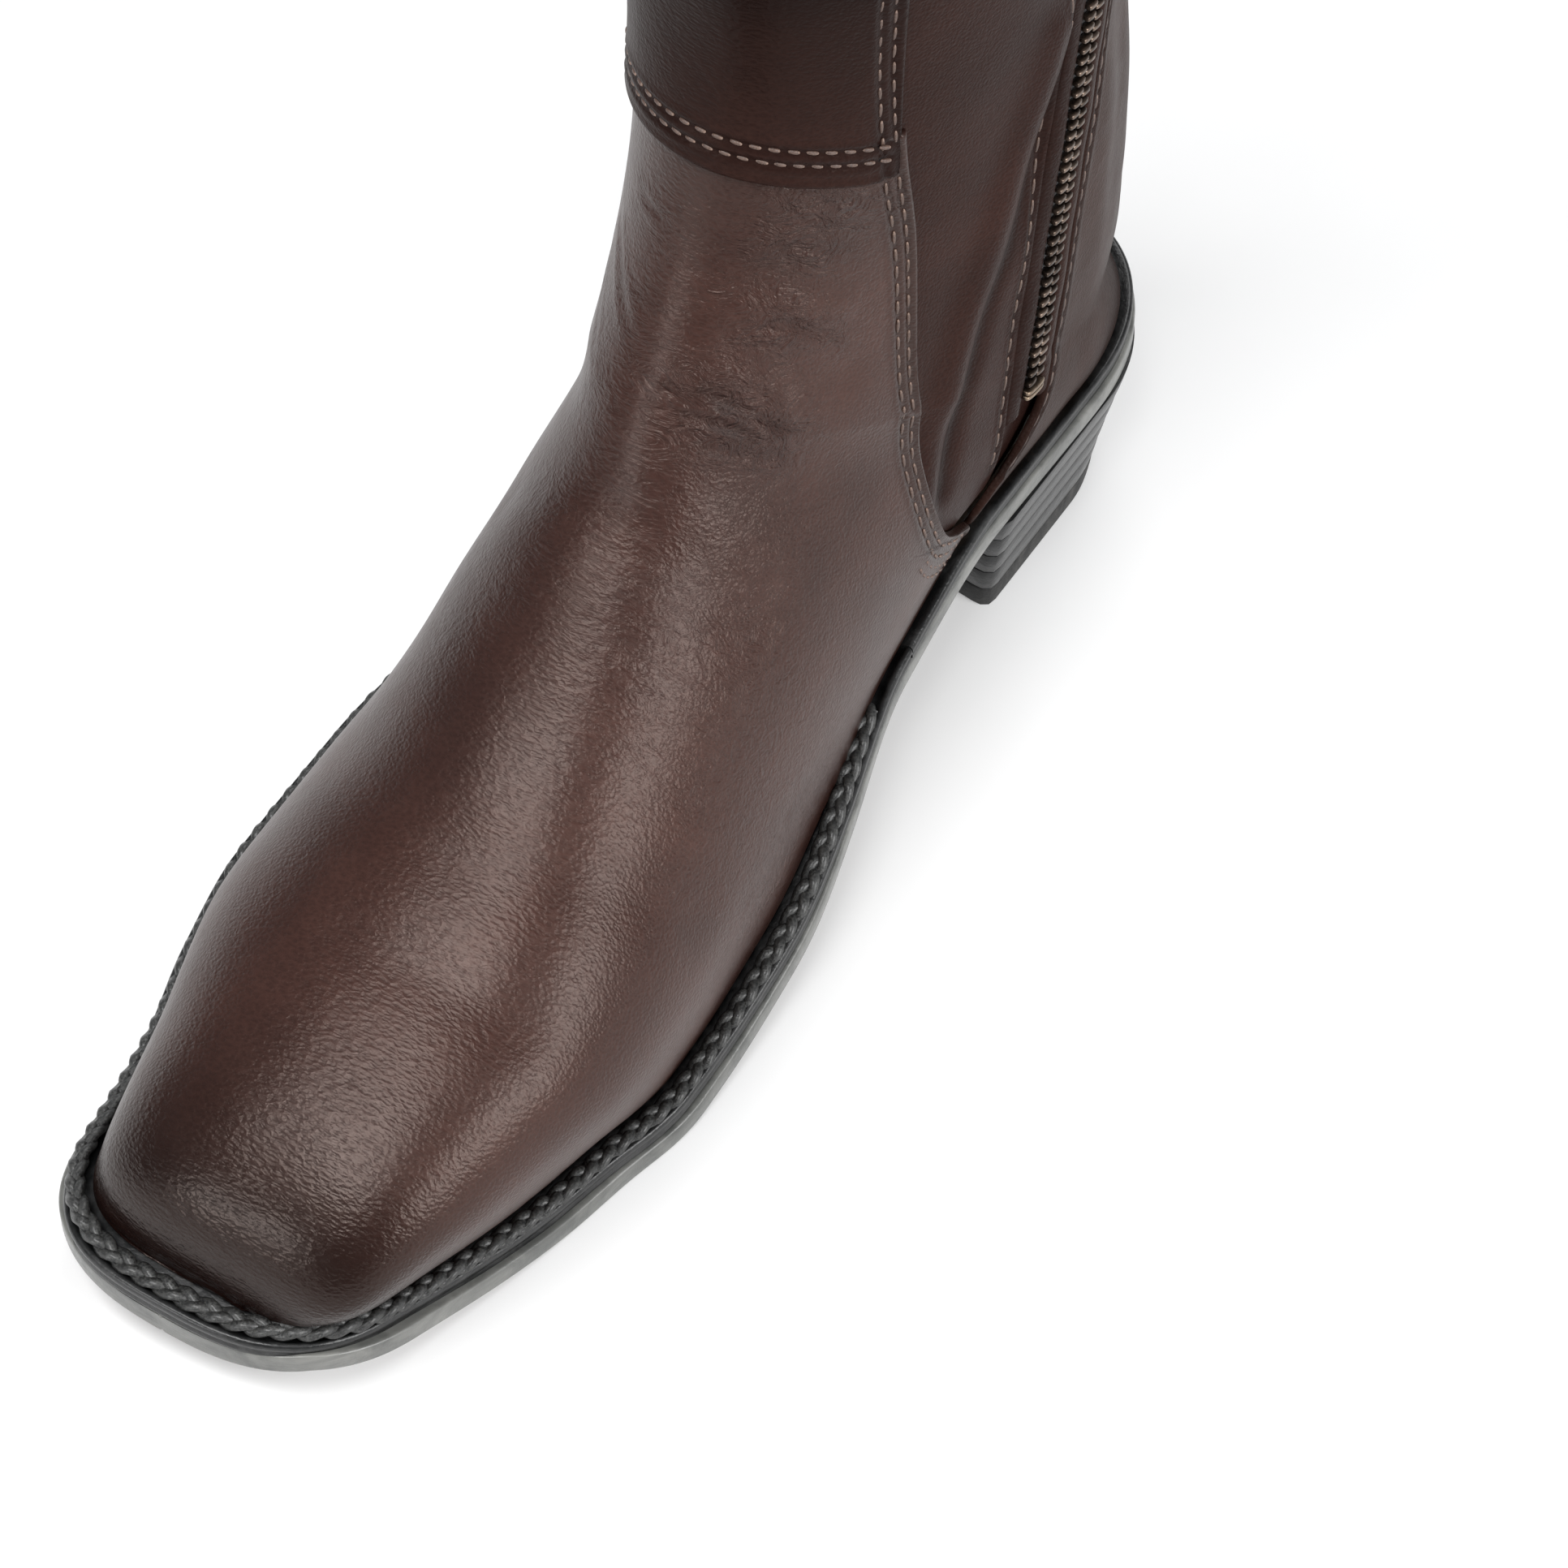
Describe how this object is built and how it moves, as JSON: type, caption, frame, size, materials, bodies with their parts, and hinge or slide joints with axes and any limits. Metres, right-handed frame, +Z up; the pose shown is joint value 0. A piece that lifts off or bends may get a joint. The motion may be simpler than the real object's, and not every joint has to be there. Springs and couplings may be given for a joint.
{
  "type": "cowboy boot",
  "caption": "Western ankle boot for the right foot: smooth brown leather, side elastic, inside zip, braided welt stitch and low stacked heel.",
  "frame": {"origin": "centre of the heel tread, on the floor", "axes": "+Z up, +Y towards the back of the boot with the toe at -Y, +X towards the inner (medial) side, which carries the zip"},
  "size_m": [0.1074, 0.3094, 0.2877],
  "materials": {
    "brown_leather": "smooth satin brown leather",
    "dark_leather": "dark brown leather",
    "lining_leather": "undyed lining leather",
    "stiffener": "leatherboard",
    "black_leather": "black polished leather",
    "sole_leather": "dark stained sole leather",
    "cork": "cork",
    "steel": "plain steel",
    "elastic": "ribbed dark elastic",
    "thread": "waxed thread",
    "zip_cloth": "woven black tape",
    "zip_metal": "dark antique metal",
    "rubber": "matt black"
  },
  "bodies": {
    "boot": {"cork_filler": "cork", "cross_seam_thread_1": "thread", "cross_seam_thread_2": "thread", "front_panel": "brown_leather", "heel_counter": "stiffener", "heel_lift_1": "black_leather", "heel_lift_2": "black_leather", "heel_lift_3": "black_leather", "heel_lift_4": "black_leather", "heel_nail_1": "steel", "heel_nail_2": "steel", "heel_nail_3": "steel", "heel_nail_4": "steel", "heel_nail_5": "steel", "heel_seat_rand": "black_leather", "heel_top_piece": "rubber", "insole": "lining_leather", "insole_rib": "lining_leather", "lateral_front_thread_1": "thread", "lateral_front_thread_2": "thread", "lateral_gore": "elastic", "lateral_gusset": "brown_leather", "lateral_vamp_thread_1": "thread", "lateral_vamp_thread_2": "thread", "medial_front_thread_1": "thread", "medial_front_thread_2": "thread", "medial_gusset": "brown_leather", "medial_vamp_thread_1": "thread", "medial_vamp_thread_2": "thread", "outsole": "sole_leather", "pull_loop": "dark_leather", "quarter": "brown_leather", "shaft_lining": "lining_leather", "shank": "steel", "sock_pad": "lining_leather", "toe_puff": "stiffener", "top_binding": "dark_leather", "vamp": "brown_leather", "vamp_lining": "lining_leather", "welt": "black_leather", "welt_braid": "black_leather", "zip_bottom_stop": "zip_metal", "zip_chain": "zip_metal", "zip_tape_front": "zip_cloth", "zip_tape_rear": "zip_cloth", "zip_top_stop": "zip_metal"},
    "zip_slider": {"zip_slider": "zip_metal"},
    "zip_pull": {"zip_pull": "zip_metal"}
  },
  "joints": [
    {"name": "zip_slide", "type": "slide", "parent": "boot", "child": "zip_slider", "axis": [-0.0005, -0.1744, -0.9847], "range_m": [0, 0.165]},
    {"name": "pull_swing", "type": "hinge", "parent": "zip_slider", "child": "zip_pull", "pos_m": [0.03949, 0.00269, 0.25329], "axis": [0, -0.9847, 0.1744], "range_deg": [0, 165]}
  ]
}
